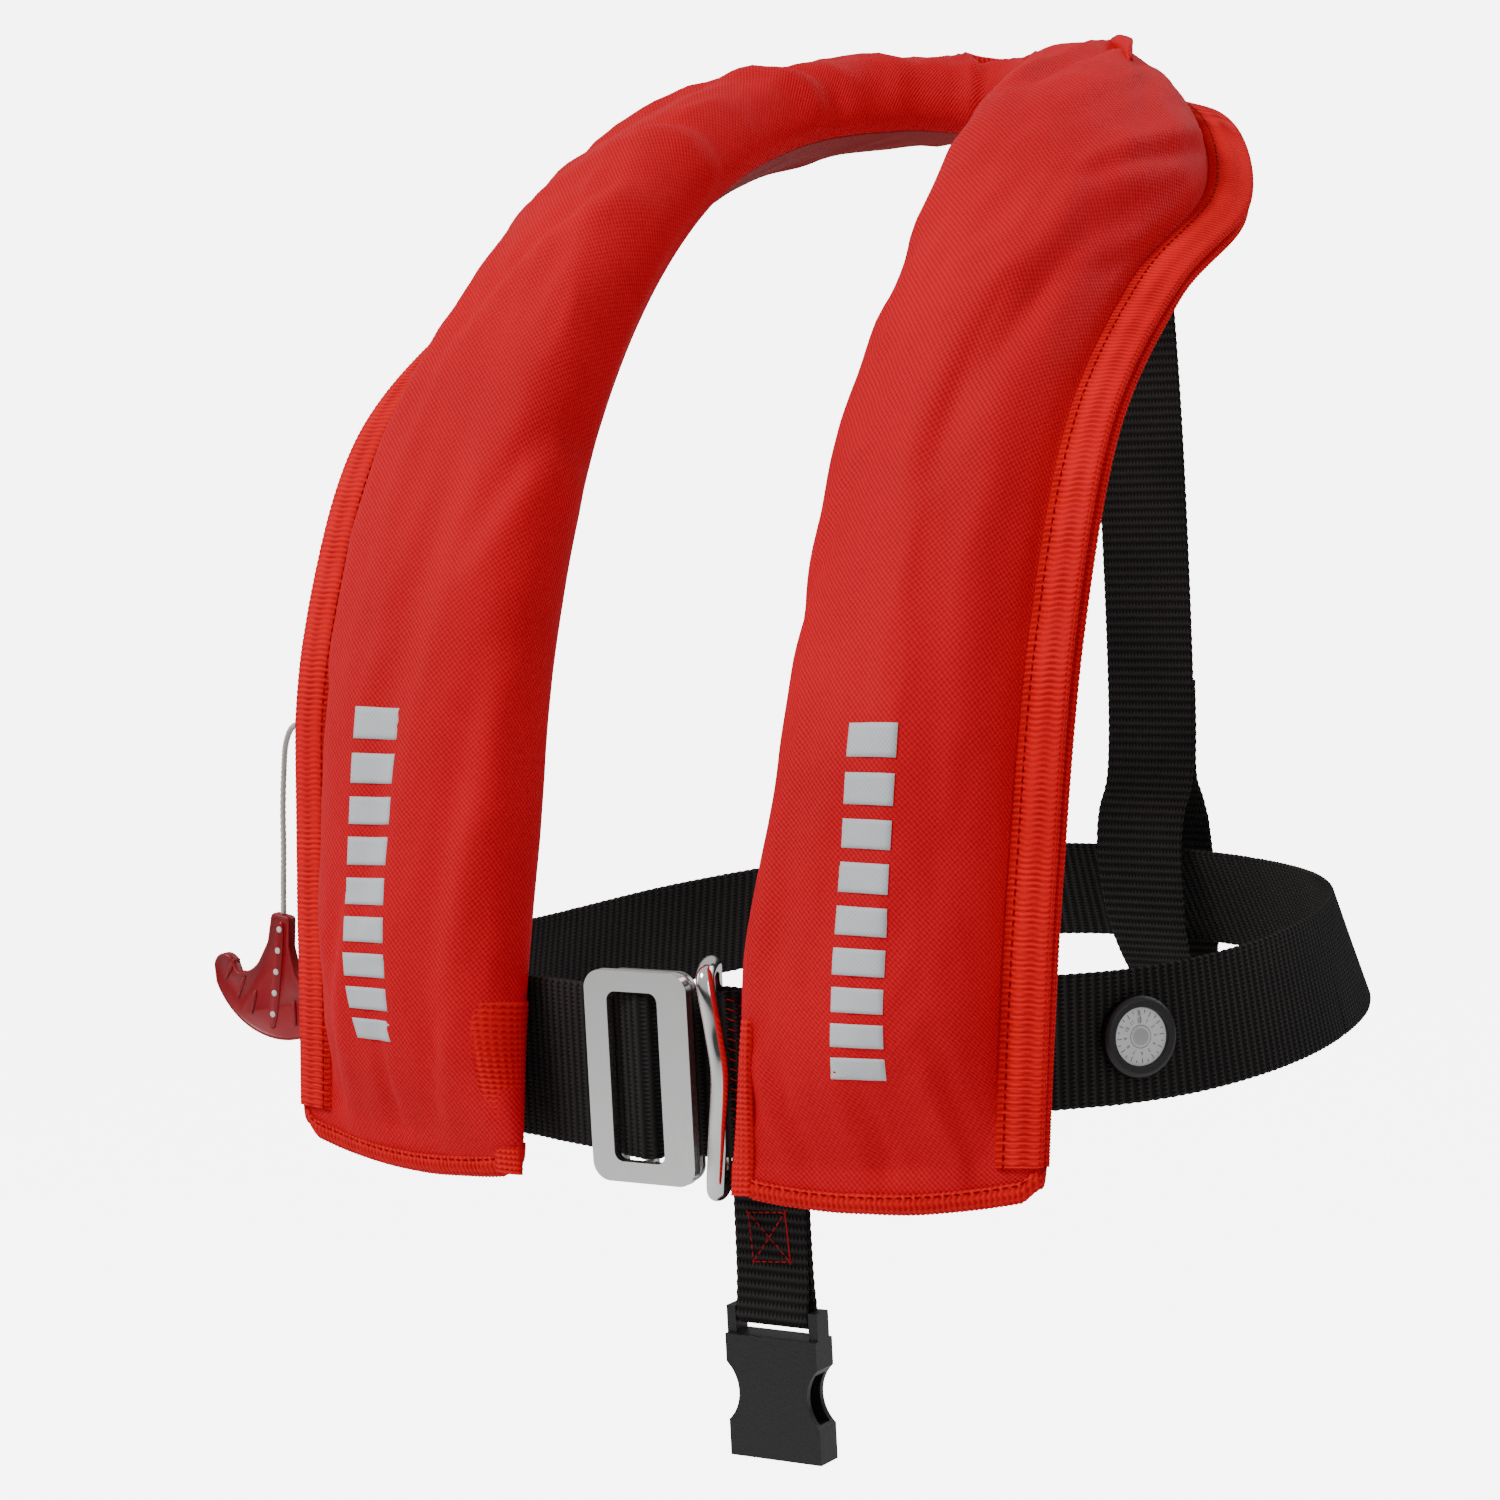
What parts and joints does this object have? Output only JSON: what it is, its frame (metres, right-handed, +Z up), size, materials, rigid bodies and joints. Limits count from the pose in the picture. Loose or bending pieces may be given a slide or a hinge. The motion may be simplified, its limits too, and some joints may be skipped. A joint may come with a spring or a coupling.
{
  "type": "inflatable life jacket",
  "caption": "Packed inflatable life jacket: red horseshoe cover on a black webbing harness with a steel front buckle, pull handle and crotch buckles.",
  "frame": {"origin": "nape point: middle of the collar's inner edge, where the collar meets the back of the wearer's neck", "axes": "+Z up, +X towards the wearer's left, -Y towards the wearer's front"},
  "size_m": [0.3438, 0.3546, 0.4235],
  "materials": {
    "cover_red": "plain weave",
    "cover_inner": "plain weave",
    "binding_red": "ribbed tape",
    "touch_tape": "matt",
    "reflective": "reflective",
    "bladder_yellow": "coated",
    "webbing_black": "ribbed webbing",
    "steel": "polished",
    "black_plastic": "moulded",
    "white_plastic": "moulded",
    "grey_cylinder": "satin",
    "red_plastic": "moulded",
    "green_plastic": "moulded",
    "rubber_black": "matt",
    "yellow_plastic": "moulded",
    "orange_plastic": "moulded",
    "cord_white": "braided"
  },
  "bodies": {
    "jacket": {"cover_front": "cover_red", "cover_back": "cover_inner", "binding_front": "binding_red", "binding_back": "binding_red", "hem_left": "binding_red", "hem_right": "binding_red", "closure_hook": "touch_tape", "closure_loop": "touch_tape", "print_left": "reflective", "print_right": "reflective", "bladder": "bladder_yellow", "bladder_reflectors": "reflective", "lifting_becket": "webbing_black", "waist_belt": "webbing_black", "belt_loop_left": "webbing_black", "belt_loop_right": "webbing_black", "front_tape_left": "webbing_black", "front_tape_right": "webbing_black", "back_strap": "webbing_black", "crotch_tab": "webbing_black", "dial_ring": "black_plastic", "dial_rivet": "steel", "inflator_body": "white_plastic", "lever_pin": "steel", "manifold_flange": "rubber_black", "gasket_rear": "rubber_black", "gasket_front": "rubber_black", "dome_nut": "steel", "oral_flange": "yellow_plastic", "oral_tube": "rubber_black", "oral_valve_body": "red_plastic", "whistle_strap": "black_plastic"},
    "gas_bottle": {"gas_cylinder": "grey_cylinder"},
    "cap": {"inflator_cap": "black_plastic"},
    "lever": {"inflator_lever": "red_plastic"},
    "clip": {"safety_clip": "green_plastic"},
    "pin": {"piercing_pin": "steel", "piercing_spring": "steel"},
    "handle": {"pull_handle": "red_plastic", "pull_cord": "cord_white"},
    "poppet": {"valve_poppet": "white_plastic", "valve_spring": "steel"},
    "mouth_cap": {"dust_cap": "black_plastic"},
    "call_whistle": {"whistle": "orange_plastic"},
    "ring": {"harness_ring": "steel"},
    "front_frame": {"buckle_frame": "steel"},
    "rear_plate": {"buckle_plate": "steel"},
    "front_socket": {"crotch_socket": "black_plastic"},
    "back_socket": {"rear_socket": "black_plastic"},
    "dial": {"dial_disc": "white_plastic"}
  },
  "joints": [
    {"name": "handle_pull", "type": "slide", "parent": "jacket", "child": "handle", "axis": [-0.1736, 0, -0.9848], "range_m": [0, 0.02], "deforming": ["pull_cord"]},
    {"name": "lever_swing", "type": "hinge", "parent": "jacket", "child": "lever", "pos_m": [-0.086, -0.21998, -0.17323], "axis": [0, -0.9744, 0.225], "range_deg": [0, 50]},
    {"name": "pin_push", "type": "slide", "parent": "jacket", "child": "pin", "axis": [0, -0.225, -0.9744], "range_m": [0, 0.0021], "deforming": ["piercing_spring"]},
    {"name": "clip_pull", "type": "slide", "parent": "lever", "child": "clip", "axis": [0, 0.225, 0.9744], "range_m": [0, 0.008]},
    {"name": "gas_bottle_unscrew", "type": "hinge", "parent": "jacket", "child": "gas_bottle", "pos_m": [-0.086, -0.23325, -0.23072], "axis": [0, 0.225, 0.9744], "continuous": true},
    {"name": "cap_unscrew", "type": "hinge", "parent": "jacket", "child": "cap", "pos_m": [-0.086, -0.2175, -0.16251], "axis": [0, 0.225, 0.9744], "continuous": true},
    {"name": "valve_press", "type": "slide", "parent": "jacket", "child": "poppet", "axis": [0, -0.4067, -0.9135], "range_m": [0, 0.003], "stiffness_N_per_m": 300, "springref_m": -0.002, "deforming": ["valve_spring"]},
    {"name": "mouth_cap_lift", "type": "slide", "parent": "jacket", "child": "mouth_cap", "axis": [0, 0.4067, 0.9135], "range_m": [0, 0.01]},
    {"name": "whistle_swing", "type": "hinge", "parent": "jacket", "child": "call_whistle", "pos_m": [0.075, -0.21663, -0.14765], "axis": [0, 0.9135, -0.4067], "range_deg": [-4, 12]},
    {"name": "ring_swing", "type": "hinge", "parent": "jacket", "child": "ring", "pos_m": [0.022, -0.2295, -0.289], "axis": [0, 0, 1], "range_deg": [-14, 4]},
    {"name": "frame_tilt", "type": "hinge", "parent": "jacket", "child": "front_frame", "pos_m": [0.004, -0.24, -0.289], "axis": [0, 0, 1], "range_deg": [-8, 12]},
    {"name": "plate_tilt", "type": "hinge", "parent": "jacket", "child": "rear_plate", "pos_m": [0.013, -0.2295, -0.2915], "axis": [0, 0, -1], "range_deg": [0, 20]},
    {"name": "front_socket_swing", "type": "hinge", "parent": "jacket", "child": "front_socket", "pos_m": [0.033, -0.2208, -0.364], "axis": [1, 0, 0], "range_deg": [-25, 25]},
    {"name": "rear_socket_swing", "type": "hinge", "parent": "jacket", "child": "back_socket", "pos_m": [0.016, 0.082, -0.3112], "axis": [1, 0, 0], "range_deg": [-15, 15]},
    {"name": "dial_turn", "type": "hinge", "parent": "jacket", "child": "dial", "pos_m": [0.1276, -0.165, -0.284], "axis": [0.8366, -0.5433, 0.0698], "continuous": true}
  ],
  "couplings": [
    {"joint": "lever_swing", "follows": "handle_pull", "rad_per_m": 43.633},
    {"joint": "pin_push", "follows": "handle_pull", "ratio": 0.104}
  ]
}
